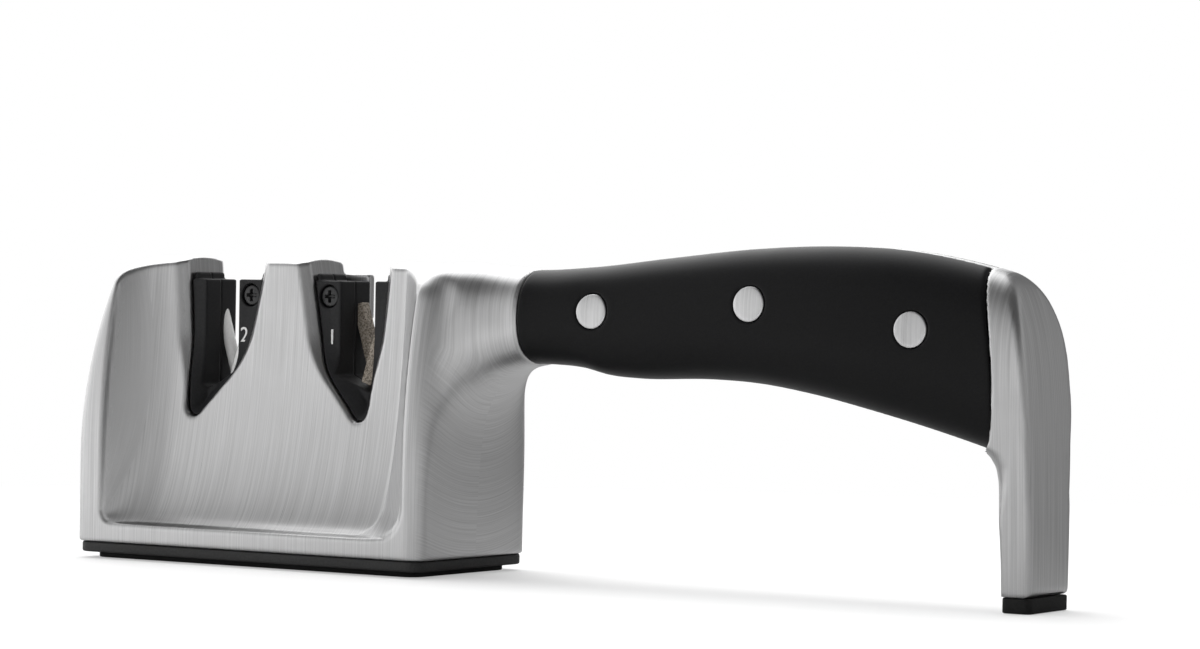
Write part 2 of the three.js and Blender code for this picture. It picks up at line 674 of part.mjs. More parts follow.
function cartridgeScrew(hand) {
  const x = screwPlace(hand);
  const z = cartridgeScrewHeight;
  const headBack = -cartridgeBack + counterboreDepth - seatGap;
  const headFront = headBack - cartridgeScrewHeadDepth;
  let screw = barAlongY(x, z, cartridgeScrewHead, headFront, headBack);
  const end = earFront + earThickness - cartridgeScrewShortfall;
  screw = screw.add(barAlongY(x, z, cartridgeScrewShank, headBack - seatGap, end));
  const long = crossRecessLength / 2;
  const thin = crossRecessWidth / 2;
  const deep = headFront + crossRecessDepth;
  screw = screw.subtract(box(x - long, x + long, headFront - overcut, deep, z - thin, z + thin));
  return screw.subtract(box(x - thin, x + thin, headFront - overcut, deep, z - long, z + long));
}

function basePlateSolid() {
  const shape = roundedRectangle(plateInset, blockLength - plateInset, halfWidth - plateInset, blockCorner);
  let solid = plate(shape, plateBottom, plateTop);
  bossPlaces().forEach(([x, y]) => {
    solid = solid.subtract(barAlongZ(x, y, baseScrewShank + 2 * pinGap, 0, blockBottom));
    solid = solid.subtract(barAlongZ(x, y, baseScrewHead + 2 * pinGap, 0, plateBottom + baseScrewHeadDepth));
  });
  return solid;
}

function padSolid() {
  const inset = plateInset + padInset;
  const shape = roundedRectangle(inset, blockLength - inset, halfWidth - inset, blockCorner);
  return plate(shape, 0, padThickness);
}

function baseScrewSolid([x, y]) {
  const headTop = plateBottom + baseScrewHeadDepth - seatGap;
  const head = barAlongZ(x, y, baseScrewHead, plateBottom, headTop);
  return head.add(barAlongZ(x, y, baseScrewShank, headTop - seatGap, plateBottom + baseScrewLength));
}

function footCapSolid() {
  const inner = legOuter - legFootThickness + footCapInset;
  const outer = legOuter - footCapInset;
  const shape = roundedRectangle(inner, outer, legFootWidth / 2 - footCapInset, legCorner);
  const cap = plate(shape, 0, footCapHeight);
  const stem = barAlongZ(legOuter - legFootThickness / 2, 0, footStemDiameter,
    footCapHeight / 2, footCapHeight + footStemLength);
  return cap.add(stem);
}

const materials = {
  brushedSteel: { color: 0xb4b6b8, roughness: 0.36, metalness: 1 },
  blackScale: { color: 0x141517, roughness: 0.42, metalness: 0 },
  rivetSteel: { color: 0xc2c4c6, roughness: 0.3, metalness: 1 },
  blackPlastic: { color: 0x1c1d1e, roughness: 0.5, metalness: 0 },
  whiteCeramic: { color: 0xeeeeea, roughness: 0.4, metalness: 0 },
  diamondGrit: { color: 0x857663, roughness: 0.8, metalness: 0.2 },
  blackScrew: { color: 0x232425, roughness: 0.4, metalness: 1 },
  platePlastic: { color: 0x202122, roughness: 0.65, metalness: 0 },
  rubber: { color: 0x151515, roughness: 0.9, metalness: 0 },
};

const sharpener = new THREE.Group();
const centred = new THREE.Group();
centred.position.x = -legOuter / 2;
sharpener.add(centred);

function addPart(name, solid, finish) {
  const mesh = new THREE.Mesh(toGeometry(solid), new THREE.MeshStandardMaterial(materials[finish]));
  mesh.name = name;
  centred.add(mesh);
}

addPart('body_casting', bodySolid(), 'brushedSteel');
addPart('front_scale', scaleSolid(-1), 'blackScale');
addPart('rear_scale', scaleSolid(1), 'blackScale');
rivetPlaces.forEach((place, i) => addPart(`rivet_${i + 1}`, rivetSolid(place), 'rivetSteel'));
[['fine', -1, rodDiameter, rodDiameter], ['coarse', 1, barWidth, barThickness]].forEach(
  ([stage, hand, width, thickness]) => {
    addPart(`${stage}_holder_front`, holderHalf(hand, -1, width, thickness), 'blackPlastic');
    addPart(`${stage}_holder_rear`, holderHalf(hand, 1, width, thickness), 'blackPlastic');
    addPart(`${stage}_cartridge_screw`, cartridgeScrew(hand), 'blackScrew');
  });
addPart('ceramic_rod_left', rodSolid(-1, -1), 'whiteCeramic');
addPart('ceramic_rod_right', rodSolid(-1, 1), 'whiteCeramic');
addPart('diamond_bar_left', gritBarSolid(1, -1), 'diamondGrit');
addPart('diamond_bar_right', gritBarSolid(1, 1), 'diamondGrit');
addPart('base_plate', basePlateSolid(), 'platePlastic');
addPart('non_slip_pad', padSolid(), 'rubber');
bossPlaces().forEach((place, i) => addPart(`base_screw_${i + 1}`, baseScrewSolid(place), 'blackScrew'));
addPart('foot_cap', footCapSolid(), 'rubber');

export default sharpener;
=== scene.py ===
# Looks for the two-stage knife sharpener: brushed casting, black scales, cartridges, base and studio.
import math

import bpy
import numpy as np
from mathutils import Matrix, Vector


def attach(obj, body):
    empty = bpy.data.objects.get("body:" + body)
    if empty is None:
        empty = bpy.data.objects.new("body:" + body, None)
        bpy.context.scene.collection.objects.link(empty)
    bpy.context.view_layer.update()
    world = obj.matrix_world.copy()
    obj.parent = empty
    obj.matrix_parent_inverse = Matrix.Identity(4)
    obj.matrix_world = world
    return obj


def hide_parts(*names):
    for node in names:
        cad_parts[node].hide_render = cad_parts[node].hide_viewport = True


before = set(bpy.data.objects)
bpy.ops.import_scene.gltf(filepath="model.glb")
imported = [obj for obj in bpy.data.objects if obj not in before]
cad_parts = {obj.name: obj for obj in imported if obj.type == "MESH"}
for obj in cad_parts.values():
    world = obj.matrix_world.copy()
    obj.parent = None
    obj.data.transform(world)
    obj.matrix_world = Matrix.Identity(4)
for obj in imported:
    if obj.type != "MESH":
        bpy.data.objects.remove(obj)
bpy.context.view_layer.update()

# Sizes in millimetres, counted along X from the block's left end, as in the part's source
MIDDLE = 128.0
BLOCK_LENGTH = 105.0
HALF_WIDTH = 23.0
BLOCK_BOTTOM = 4.0
BLOCK_TOP = 74.4
BOLSTER = 123.8
LEG_OUTER = 256.0
TOWER_CENTRE = 53.0
NECK_TOP = 73.0
HANDLE_UNDER = 50.0
CARTRIDGE_TOP = 69.0
CARTRIDGE_BACK = 6.0
SCREW_HEIGHT = 65.2
SCREW_OFFSET = 11.95
RIVETS = [0.152, 0.471, 0.781]
RIVET_RISE = [2.0, 2.75, 2.5]
RIVET_RADIUS = 4.0
HANDLE_HALF = 12.2
HANDLE_ROUNDNESS = 2.35
NECK_START = 101.0
NECK_INSET = 2.6
SIDE_MARGIN = 0.08
SCOOP_SILL = 8.7
SCOOP_LEFT = 11.9
SCOOP_LEFT_ROUND = 3.5
SCOOP_LEFT_RUN = 15.0
SCOOP_LEFT_BEND = 1.6
SCOOP_RIGHT = 92.5
SCOOP_RIGHT_ROUND = 7.0
SCOOP_RIGHT_RUN = 9.6
SCOOP_RIGHT_BEND = 1.12
TOWER_HALF = 8.8
TAPER_START = 25.0
TAPER_RADIUS = 174.0
EAR_OFFSET = 9.1
LEG_FOOT_THICKNESS = 7.5
LEG_HALF = 9.7
LEG_EDGE = 1.6
TANG_HALF = 1.8
SCALE_REAR_CENTRE = (168.4, 47.0)
SCALE_REAR_RADIUS = 78.0
CROSS_OFFSET = 21.61
CROSS_HEIGHT = 48.3
TILT = math.radians(17)
ABRASIVE_FOOT = 44.4
ABRASIVE_HALF = 1.5
ABRASIVE_LAYER = 2.5
INNER_TOP = 63.5
OUTER_TOP = 62.3
FINE_INNER_TOP = 60.5
FINE_INNER_SET_BACK = 2.3
NUMBER_OFFSET = 13.4


def smooth_line(pairs):
    """A smooth line through (place, value) pairs, read at any array of places."""
    xs = np.array([p[0] for p in pairs], float)
    ys = np.array([p[1] for p in pairs], float)
    slopes = np.gradient(ys, xs)

    def read(at):
        at = np.clip(at, xs[0], xs[-1])
        i = np.clip(np.searchsorted(xs, at) - 1, 0, len(xs) - 2)
        h = xs[i + 1] - xs[i]
        t = (at - xs[i]) / h
        a = (2 * t**3 - 3 * t**2 + 1) * ys[i] + (t**3 - 2 * t**2 + t) * h * slopes[i]
        return a + (3 * t**2 - 2 * t**3) * ys[i + 1] + (t**3 - t**2) * h * slopes[i + 1]

    return read


def neck_at(u):
    return BLOCK_LENGTH + u * (BOLSTER - BLOCK_LENGTH)


def grip_at(u):
    return BOLSTER + u * (LEG_OUTER - BOLSTER)


handle_top = smooth_line(
    [(neck_at(u), NECK_TOP + r) for u, r in [(-0.8, 0.2), (0.27, 0)]]
    + [(grip_at(u), NECK_TOP + r) for u, r in
       [(0, -0.6), (0.12, 0.3), (0.27, 2.5), (0.455, 4.9), (0.6, 5.6), (0.73, 4.9), (0.88, 1.6),
        (1.03, -4)]])
handle_bottom = smooth_line(
    [(neck_at(u), HANDLE_UNDER * s) for u, s in
     [(-0.106, 0.12), (0, 0.4), (0.08, 0.64), (0.213, 0.81), (0.4, 0.904), (0.64, 0.964), (0.904, 0.994)]]
    + [(grip_at(u), HANDLE_UNDER + r) for u, r in
       [(0.055, 0), (0.1, -0.5), (0.153, -2), (0.213, -2.6), (0.365, -2.3), (0.455, -2.9), (0.56, -4.9),
        (0.682, -8.3), (0.803, -12.2), (0.88, -15), (0.955, -18)]])
handle_half = smooth_line(
    [(neck_at(u), HANDLE_HALF + s * (HALF_WIDTH - HANDLE_HALF)) for u, s in
     [(-0.106, 0.722), (0.053, 0.537), (0.266, 0.333), (0.585, 0.111)]]
    + [(grip_at(u), HANDLE_HALF * s) for u, s in
       [(0, 1), (0.12, 0.934), (0.31, 0.934), (0.5, 0.984), (0.65, 1.008), (0.82, 0.984), (1, 0.951)]])
handle_power = smooth_line([(neck_at(-0.053), 4), (neck_at(0.37), 3), (BOLSTER, 2.45)]
                           + [(x, HANDLE_ROUNDNESS) for x in (BOLSTER + 12, BOLSTER + 24, LEG_OUTER)])
leg_outer = smooth_line([(u * NECK_TOP, LEG_OUTER - d) for u, d in zip(
    [0, 0.192, 0.356, 0.521, 0.658, 0.767, 0.863, 0.959, 1.041], [0, 0, 0.2, 0.6, 1.2, 2.1, 3.6, 6.4, 11])])
leg_inner_drop = smooth_line([(u * 36, d) for u, d in [
    (0, 0), (0.278, 0.2), (0.5, 0.6), (0.694, 1.3), (0.806, 2.2), (0.889, 3.6), (0.958, 6.5), (1, 11),
    (1.667, 14)]])
leg_half = smooth_line([(u * 58, LEG_HALF + 2.1 * s) for u, s in [
    (0, 0), (0.344, 0.238), (0.603, 0.619), (1, 1)]])


# Solid fields: below zero inside, in millimetres
def meet(a, b, r):
    """What both fields hold, with its edge rounded to radius r."""
    return np.minimum(-r, np.maximum(a, b)) + np.hypot(np.maximum(r + a, 0), np.maximum(r + b, 0))


def join(a, b, r):
    return -meet(-a, -b, r)


def cut(a, b, r):
    return meet(a, -b, r)


def true_scale(field, step):
    gx, gy, gz = np.gradient(field, step)
    return field / np.maximum(np.sqrt(gx * gx + gy * gy + gz * gz), 0.02)


def soften(field, passes):
    """Evens the field out between neighbours, which rounds creases."""
    for _ in range(passes):
        for axis in range(3):
            padded = np.concatenate([field.take([0], axis), field, field.take([-1], axis)], axis)
            n = field.shape[axis]
            low = padded.take(range(0, n), axis)
            high = padded.take(range(2, n + 2), axis)
            field = 0.25 * low + 0.5 * field + 0.25 * high
    return field


def axes(low, high, step):
    return [np.arange(a, b + step, step) for a, b in zip(low, high)]


def spread(xs, ys, zs):
    return xs[:, None, None], ys[None, :, None], zs[None, None, :]


def read_field(field, at):
    """Field values at places given in grid steps."""
    top = np.array(field.shape) - 2
    base = np.clip(np.floor(at).astype(int), 0, top)
    t = at - base
    value = np.zeros(len(at))
    for dx in (0, 1):
        for dy in (0, 1):
            for dz in (0, 1):
                weight = (np.abs(1 - dx - t[:, 0]) * np.abs(1 - dy - t[:, 1]) * np.abs(1 - dz - t[:, 2]))
                value += weight * field[base[:, 0] + dx, base[:, 1] + dy, base[:, 2] + dz]
    return value


CORNERS = [(0, 0, 0), (1, 0, 0), (0, 1, 0), (1, 1, 0), (0, 0, 1), (1, 0, 1), (0, 1, 1), (1, 1, 1)]
EDGES = [(0, 1), (2, 3), (4, 5), (6, 7), (0, 2), (1, 3), (4, 6), (5, 7), (0, 4), (1, 5), (2, 6), (3, 7)]


def skin(field, low, step):
    """The surface of a field: points in millimetres, four-sided faces and normals."""
    inside = field < 0
    nx, ny, nz = (n - 1 for n in field.shape)
    count = sum(inside[a:a + nx, b:b + ny, c:c + nz].astype(np.int8) for a, b, c in CORNERS)
    crossed = (count > 0) & (count < 8)
    cell = np.argwhere(crossed)
    number = np.full(crossed.shape, -1)
    number[crossed] = np.arange(len(cell))
    value = [field[cell[:, 0] + a, cell[:, 1] + b, cell[:, 2] + c] for a, b, c in CORNERS]
    place = np.zeros((len(cell), 3))
    hits = np.zeros(len(cell))
    for a, b in EDGES:
        hit = (value[a] < 0) != (value[b] < 0)
        t = value[a][hit] / (value[a][hit] - value[b][hit])
        start = np.array(CORNERS[a], float)
        place[hit] += start + t[:, None] * (np.array(CORNERS[b]) - start)
        hits[hit] += 1
    at = cell + place / hits[:, None]
    slope = np.gradient(field)
    for _ in range(3):
        normal = np.stack([read_field(g, at) for g in slope], 1)
        size = np.maximum((normal * normal).sum(1), 0.02)
        move = np.clip(read_field(field, at) / size, -0.5, 0.5)
        at = at - 0.8 * move[:, None] * normal
    normal = np.stack([read_field(g, at) for g in slope], 1)
    normal /= np.maximum(np.linalg.norm(normal, axis=1), 1e-9)[:, None]
    faces = []
    turns = [((1, 2), [(-1, -1), (0, -1), (0, 0), (-1, 0)]),
             ((0, 2), [(-1, -1), (-1, 0), (0, 0), (0, -1)]),
             ((0, 1), [(-1, -1), (0, -1), (0, 0), (-1, 0)])]
    for axis, (others, corners) in enumerate(turns):
        first = inside.take(range(0, inside.shape[axis] - 1), axis)
        second = inside.take(range(1, inside.shape[axis]), axis)
        edge = np.argwhere(first != second)
        for o in others:
            edge = edge[(edge[:, o] > 0) & (edge[:, o] < field.shape[o] - 1)]
        quad = []
        for corner in corners:
            place_of = edge.copy()
            place_of[:, others[0]] += corner[0]
            place_of[:, others[1]] += corner[1]
            quad.append(number[place_of[:, 0], place_of[:, 1], place_of[:, 2]])
        quad = np.stack(quad, 1)
        outward = first[edge[:, 0], edge[:, 1], edge[:, 2]]
        quad[~outward] = quad[~outward][:, ::-1]
        faces.append(quad)
    return np.array(low) + at * step, np.concatenate(faces), normal


def place_mesh(name, points, faces, normals, material):
    """A smooth-shaded object from points in millimetres."""
    mesh = bpy.data.meshes.new(name)
    metres = (np.asarray(points, float) - [MIDDLE, 0, 0]) * 0.001
    mesh.from_pydata(metres.tolist(), [], [list(map(int, f)) for f in faces])
    mesh.polygons.foreach_set("use_smooth", np.ones(len(mesh.polygons), bool))
    if normals is not None:
        mesh.normals_split_custom_set_from_vertices(np.asarray(normals).tolist())
    mesh.materials.append(material)
    piece = bpy.data.objects.new(name, mesh)
    bpy.context.scene.collection.objects.link(piece)
    return piece


def settle(piece, body, slot, *nodes):
    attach(piece, body)
    if nodes:
        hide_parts(*nodes)
    return piece


# Forms of the block
def taper(z):
    rise = np.maximum(z - TAPER_START, 0)
    return TAPER_RADIUS - np.sqrt(TAPER_RADIUS**2 - rise**2)


def quarter_round(u, bend):
    return (1 - (1 - u) ** bend) ** (1 / bend)


def corner_reach(rise, r):
    """How far a corner of radius r has opened at a height above the sill."""
    return np.sqrt(r**2 - (r - np.minimum(rise, r)) ** 2)


def scoop_half_depth(x, z):
    """How far the tower faces stand from the middle plane; far out where there is no hollow."""
    side = HALF_WIDTH - taper(z)
    rise = np.maximum(z - SCOOP_SILL, 0)
    left_edge = SCOOP_LEFT - corner_reach(rise, SCOOP_LEFT_ROUND)
    right_edge = SCOOP_RIGHT + corner_reach(rise, SCOOP_RIGHT_ROUND)
    left = np.clip((x - left_edge) / SCOOP_LEFT_RUN, 0, 1)
    right = np.clip((right_edge - x) / SCOOP_RIGHT_RUN, 0, 1)
    climb = np.clip((z - SCOOP_SILL) / (BLOCK_TOP - SCOOP_SILL), 0, 1)
    centre = HALF_WIDTH - (HALF_WIDTH - TOWER_HALF) * quarter_round(climb, 2.0)
    hollow = np.maximum(side - centre, 0)
    depth = side - hollow * quarter_round(left, SCOOP_LEFT_BEND) * quarter_round(right, SCOOP_RIGHT_BEND)
    outside = np.maximum(np.maximum(left_edge - x, x - right_edge), SCOOP_SILL - z)
    return depth + 12.0 * np.maximum(outside, 0)


def outline_distance(points, x, z):
    """Distance to a closed outline in X and Z, below zero inside."""
    nearest = np.full(np.broadcast(x, z).shape, 1e9)
    inside = np.zeros(nearest.shape, bool)
    for (ax, az), (bx, bz) in zip(points, points[1:] + points[:1]):
        ex, ez = bx - ax, bz - az
        t = np.clip(((x - ax) * ex + (z - az) * ez) / (ex * ex + ez * ez + 1e-12), 0, 1)
        nearest = np.minimum(nearest, np.hypot(x - ax - t * ex, z - az - t * ez))
        if abs(ez) > 1e-9:
            inside ^= ((az > z) != (bz > z)) & (x < ax + (z - az) / ez * ex)
    return np.where(inside, -nearest, nearest)


def bend_points(a, b, c, steps=8):
    return [tuple((1 - t)**2 * np.array(a) + 2 * t * (1 - t) * np.array(b) + t * t * np.array(c))
            for t in np.linspace(0, 1, steps + 1)]


def slot_outline(hand):
    line = [(5.2, 80.0)] + bend_points((10.33, 55.5), (11.8, 48.5), (15.38, 44.6))
    line += bend_points((22.9, 36.4), (24.3, 34.8), (26.2, 35.6), 5)
    line += bend_points((26.2, 35.6), (27.5, 36.4), (27.8, 38.5))
    line += [(31.4, 80.0)]
    return [(TOWER_CENTRE + hand * u, z) for u, z in line]


def slot_bevel(z):
    t = np.clip((z - 42.0) / 15.0, 0, 1)
    return 0.3 + 1.7 * t * t * (3 - 2 * t)


def rounded_box_section(x, y, x0, x1, half, r):
    qx = np.abs(x - (x0 + x1) / 2) - (x1 - x0) / 2 + r
    qy = np.abs(y) - half + r
    return np.hypot(np.maximum(qx, 0), np.maximum(qy, 0)) + np.minimum(np.maximum(qx, qy), 0) - r


def oval_field(x, y, z, grow, step):
    top = handle_top(x) + grow
    bottom = handle_bottom(x) - grow
    power = handle_power(x)
    wide = np.abs(y) / (handle_half(x) + grow)
    tall = np.abs(z - (top + bottom) / 2) / ((top - bottom) / 2)
    return true_scale((wide**power + tall**power) ** (1 / power) - 1, step)


def block_field(xs, ys, zs, step):
    x, y, z = spread(xs, ys, zs)
    side = HALF_WIDTH - SIDE_MARGIN - taper(z)
    wall = rounded_box_section(x, y, taper(z), BLOCK_LENGTH, side, 4.0)
    top = BLOCK_TOP - 1.4 * np.maximum(x - TOWER_CENTRE, 0) / (BLOCK_LENGTH - TOWER_CENTRE)
    crown = (z - top + y * y / 58.0) / np.sqrt(1 + (y / 29.0) ** 2)
    block = meet(wall, crown + 0 * x, 1.8)
    neck = np.maximum(oval_field(x, y, z, 0, step), NECK_START - x)
    neck = np.maximum(neck, np.abs(y) - side + NECK_INSET)
    block = join(block, neck, 2.0)
    blend = np.clip((x - 96.0) / 6.0, 0, 1)
    block = block + blend * (soften(block, 12) - block)
    depth = scoop_half_depth(xs[:, None], zs[None, :])
    hx, hz = np.gradient(depth, step)
    face = (np.abs(y) - depth[:, None, :]) / np.sqrt(1 + hx * hx + hz * hz)[:, None, :]
    block = meet(block, face, 0.7)
    for hand in (-1, 1):
        slot = outline_distance(slot_outline(hand), xs[:, None], zs[None, :])
        widen = np.maximum(slot_bevel(z) - (depth[:, None, :] - np.abs(y)), 0)
        block = cut(block, slot[:, None, :] - np.minimum(widen, 3.0), 0.3)
        ear = np.maximum(np.abs(x - TOWER_CENTRE - hand * EAR_OFFSET) - 5.9, np.abs(y - 7.4) - 1.1)
        block = join(block, meet(ear, np.abs(z - SCREW_HEIGHT) - 5.5, 0.4), 0.4)
    block = meet(block, x - BOLSTER + 0 * y, 0.3)
    return meet(block, BLOCK_BOTTOM - z + 0 * x, 0.5)


def scale_span(x, z):
    """Side view of a scale, with its rear lower corner rounded."""
    around = np.hypot(x - SCALE_REAR_CENTRE[0], z - SCALE_REAR_CENTRE[1]) - SCALE_REAR_RADIUS
    rear = meet(around, handle_bottom(x) - z, 4.0)
    return np.maximum(rear, BOLSTER - x)


def rear_field(xs, ys, zs, step):
    """Tang, butt and leg."""
    x, y, z = spread(xs, ys, zs)
    oval = oval_field(x, y, z, 0, step)
    trim = x - leg_outer(z) + 0.04
    inner = LEG_OUTER - LEG_FOOT_THICKNESS - leg_inner_drop(z)
    swell = np.clip((z - 18.0) / 18.0, 0, 1)
    corner = LEG_EDGE + 5.4 * swell * swell * (3 - 2 * swell)
    fade = np.clip((z - 40.0) / 17.0, 0, 1)
    half = leg_half(z) - 3.5 * fade * fade * (3 - 2 * fade)
    outer = leg_outer(z) + np.maximum(corner - LEG_EDGE, 2.0)
    leg = rounded_box_section(x, y, inner, outer, half, corner)
    leg = np.maximum(meet(leg, 3.4 - z + 0 * x, 0.3), z - 58.0)
    shape = join(oval, leg, 2.0)
    shape = meet(shape, trim + 0 * y, 1.8)
    room = scale_span(x, z) - 0.3
    shape = cut(shape, room + 0 * y, 0.25)
    tang = np.maximum(oval_field(x, y, z, -0.15, step), np.abs(y) - TANG_HALF)
    tang = np.maximum(tang, np.maximum(scale_span(x, z) - 1, BOLSTER - 1 - x))
    tang = np.maximum(tang, handle_bottom(x) + 1.0 - z)
    return np.minimum(shape, tang)


def scale_field(xs, ys, zs, step, side):
    x, y, z = spread(xs, ys, zs)
    scale = meet(oval_field(x, y, z, 0, step), scale_span(x, z) + 0 * y, 0.55)
    scale = meet(scale, 1.9 - side * y + 0 * x, 0.3)
    for px, pz in rivet_places():
        scale = cut(scale, np.hypot(x - px, z - pz) - RIVET_RADIUS - 0.1 + 0 * y, 0.25)
    return scale


def rivet_places():
    places = []
    for u, rise in zip(RIVETS, RIVET_RISE):
        x = grip_at(u)
        places.append((x, float(handle_top(x) + handle_bottom(x)) / 2 + rise))
    return places


def holder_field(xs, ys, zs, step, hand, side):
    """One half of a cartridge, with its dished face, knife gap and raised ribs along the slot walls."""
    x, y, z = spread(xs, ys, zs)
    wall = outline_distance(slot_outline(hand), xs[:, None], zs[None, :]) + 0.3
    depth = scoop_half_depth(xs[:, None], zs[None, :])
    rim = np.maximum(CARTRIDGE_BACK, depth - slot_bevel(zs)[None, :] - 0.8)
    share = np.clip(1 + wall / 3.2, 0, 1)
    face = CARTRIDGE_BACK + (rim - CARTRIDGE_BACK) * share
    hx, hz = np.gradient(face, step)
    front = (side * y - face[:, None, :]) / np.sqrt(1 + hx * hx + hz * hz)[:, None, :]
    wall = wall[:, None, :]
    low = meet(wall, z - CARTRIDGE_TOP + 0 * x, 0.35)
    rib = meet(np.maximum(wall, -wall - 1.5), z - CARTRIDGE_TOP - 1.7 + 0 * x, 0.5)
    rib = meet(rib, np.abs(y) - 5.4 + 0 * x, 0.9)
    half = join(meet(low + 0 * y, front, 0.35), rib, 0.3)
    gap = [(15.6, 90.0), (15.6, 46.4), (24.7, 42.2), (25.7, 43.2), (25.7, 90.0)]
    gap = outline_distance([(TOWER_CENTRE + hand * u, h) for u, h in gap], xs[:, None], zs[None, :])
    half = cut(half, gap[:, None, :] + 0 * y, 0.35)
    around = np.hypot(x - TOWER_CENTRE - hand * SCREW_OFFSET, z - SCREW_HEIGHT)
    if side < 0:
        half = cut(half, np.maximum(around - 2.8, y + CARTRIDGE_BACK - 2.4), 0.2)
    else:
        ear = np.maximum(np.abs(x - TOWER_CENTRE - hand * EAR_OFFSET) - 6.2, np.abs(z - SCREW_HEIGHT) - 5.8)
        half = cut(half, np.maximum(ear + 0 * y, 6.0 - y), 0.2)
    return meet(half, 0.05 - side * y + 0 * x, 0.15)


def screw_field(xs, ys, zs, hand):
    x, y, z = spread(xs, ys, zs)
    px, pz = x - TOWER_CENTRE - hand * SCREW_OFFSET, z - SCREW_HEIGHT
    around = np.hypot(px, pz)
    dome = -5.7 + around**2 / 22.0 - y
    head = meet(meet(around - 2.5 + 0 * y, dome, 0.35), y + 3.7 + 0 * x, 0.1)
    taper_in = np.clip((y + 5.7) * 0.35, 0, 1)
    arm = np.minimum(np.maximum(np.abs(px) - 1.6 + taper_in, np.abs(pz) - 0.42 + 0.3 * taper_in),
                     np.maximum(np.abs(pz) - 1.6 + taper_in, np.abs(px) - 0.42 + 0.3 * taper_in))
    head = cut(head, np.maximum(arm, y + 4.4), 0.08)
    shank = np.maximum(around - 1.3 + 0 * y, np.maximum(-3.9 - y, y - 8.0) + 0 * x)
    return np.minimum(head, shank)


# Plain turned and moulded pieces
def ring_walls(rings):
    """A closed skin over rings of points, with flat ends."""
    count = len(rings[0])
    points = [p for ring in rings for p in ring]
    faces = []
    for r in range(len(rings) - 1):
        for i in range(count):
            j = (i + 1) % count
            faces.append((r * count + i, r * count + j, (r + 1) * count + j, (r + 1) * count + i))
    faces.append(tuple(reversed(range(count))))
    faces.append(tuple(range((len(rings) - 1) * count, len(rings) * count)))
    return points, faces


def rounded_ring(x0, x1, half, r, z, steps=8):
    ring = []
    corners = [(x1 - r, -half + r, -90), (x1 - r, half - r, 0), (x0 + r, half - r, 90), (x0 + r, -half + r, 180)]
    for cx, cy, start in corners:
        for i in range(steps + 1):
            a = math.radians(start + 90 * i / steps)
            ring.append((cx + r * math.cos(a), cy + r * math.sin(a), z))
    return ring


def moulded_plate(x0, x1, half, r, z0, z1, edge):
    """A flat plate with rounded corners and small rounds along both edges."""
    def ring_at(inset, z):
        return rounded_ring(x0 + inset, x1 - inset, half - inset, max(r - inset, 0.2), z)

    angles = [t * math.pi / 2 for t in (0.0, 0.3, 0.7, 1.0)]
    rings = [ring_at(edge * (1 - math.sin(a)), z0 + edge * (1 - math.cos(a))) for a in angles]
    rings += [ring_at(edge * (1 - math.cos(a)), z1 - edge * (1 - math.sin(a))) for a in angles]
    return ring_walls(rings)


def turned(profile, steps=48):
    """A closed turned piece from (radius, height) pairs."""
    angles = [2 * math.pi * i / steps for i in range(steps)]
    return ring_walls([[(r * math.cos(a), r * math.sin(a), h) for a in angles] for r, h in profile])


def auto_smooth(piece, degrees=35):
    piece.data.set_sharp_from_angle(angle=math.radians(degrees))


# Shader groups
def new_group(name, inputs, outputs):
    group = bpy.data.node_groups.new(name, "ShaderNodeTree")
    for label, kind, value in inputs:
        socket = group.interface.new_socket(label, in_out="INPUT", socket_type=kind)
        if value is not None:
            socket.default_value = value
    for label, kind in outputs:
        group.interface.new_socket(label, in_out="OUTPUT", socket_type=kind)
    return group, group.nodes.new("NodeGroupInput"), group.nodes.new("NodeGroupOutput")


def brush_lines_group():
    """Fine scratches drawn out along Z of the coordinates given."""
    group, given, put = new_group(
        "brush_lines",
        [("Vector", "NodeSocketVector", None), ("Across", "NodeSocketFloat", 3000.0),
         ("Along", "NodeSocketFloat", 60.0)],
        [("Lines", "NodeSocketFloat"), ("Clouds", "NodeSocketFloat")])
    n, l = group.nodes, group.links
    stretch = n.new("ShaderNodeCombineXYZ")
    l.new(given.outputs["Across"], stretch.inputs[0])
    l.new(given.outputs["Across"], stretch.inputs[1])
    l.new(given.outputs["Along"], stretch.inputs[2])
    scaled = n.new("ShaderNodeVectorMath")
    scaled.operation = "MULTIPLY"
    l.new(given.outputs["Vector"], scaled.inputs[0])
    l.new(stretch.outputs[0], scaled.inputs[1])
    lines = n.new("ShaderNodeTexNoise")
    lines.inputs["Scale"].default_value = 1.0
    lines.inputs["Detail"].default_value = 5.0
    lines.inputs["Roughness"].default_value = 0.65
    l.new(scaled.outputs[0], lines.inputs["Vector"])
    clouds = n.new("ShaderNodeTexNoise")
    clouds.inputs["Scale"].default_value = 70.0
    clouds.inputs["Detail"].default_value = 2.0
    l.new(given.outputs["Vector"], clouds.inputs["Vector"])
    l.new(lines.outputs["Fac"], put.inputs["Lines"])
    l.new(clouds.outputs["Fac"], put.inputs["Clouds"])
    return group


def fine_grain_group():
    """A fine moulded grain with slow unevenness."""
    group, given, put = new_group(
        "fine_grain", [("Vector", "NodeSocketVector", None), ("Scale", "NodeSocketFloat", 2500.0)],
        [("Grain", "NodeSocketFloat"), ("Patches", "NodeSocketFloat")])
    n, l = group.nodes, group.links
    grain = n.new("ShaderNodeTexNoise")
    grain.inputs["Detail"].default_value = 3.0
    l.new(given.outputs["Vector"], grain.inputs["Vector"])
    l.new(given.outputs["Scale"], grain.inputs["Scale"])
    patches = n.new("ShaderNodeTexNoise")
    patches.inputs["Scale"].default_value = 45.0
    l.new(given.outputs["Vector"], patches.inputs["Vector"])
    l.new(grain.outputs["Fac"], put.inputs["Grain"])
    l.new(patches.outputs["Fac"], put.inputs["Patches"])
    return group


BRUSH = brush_lines_group()
GRAIN = fine_grain_group()


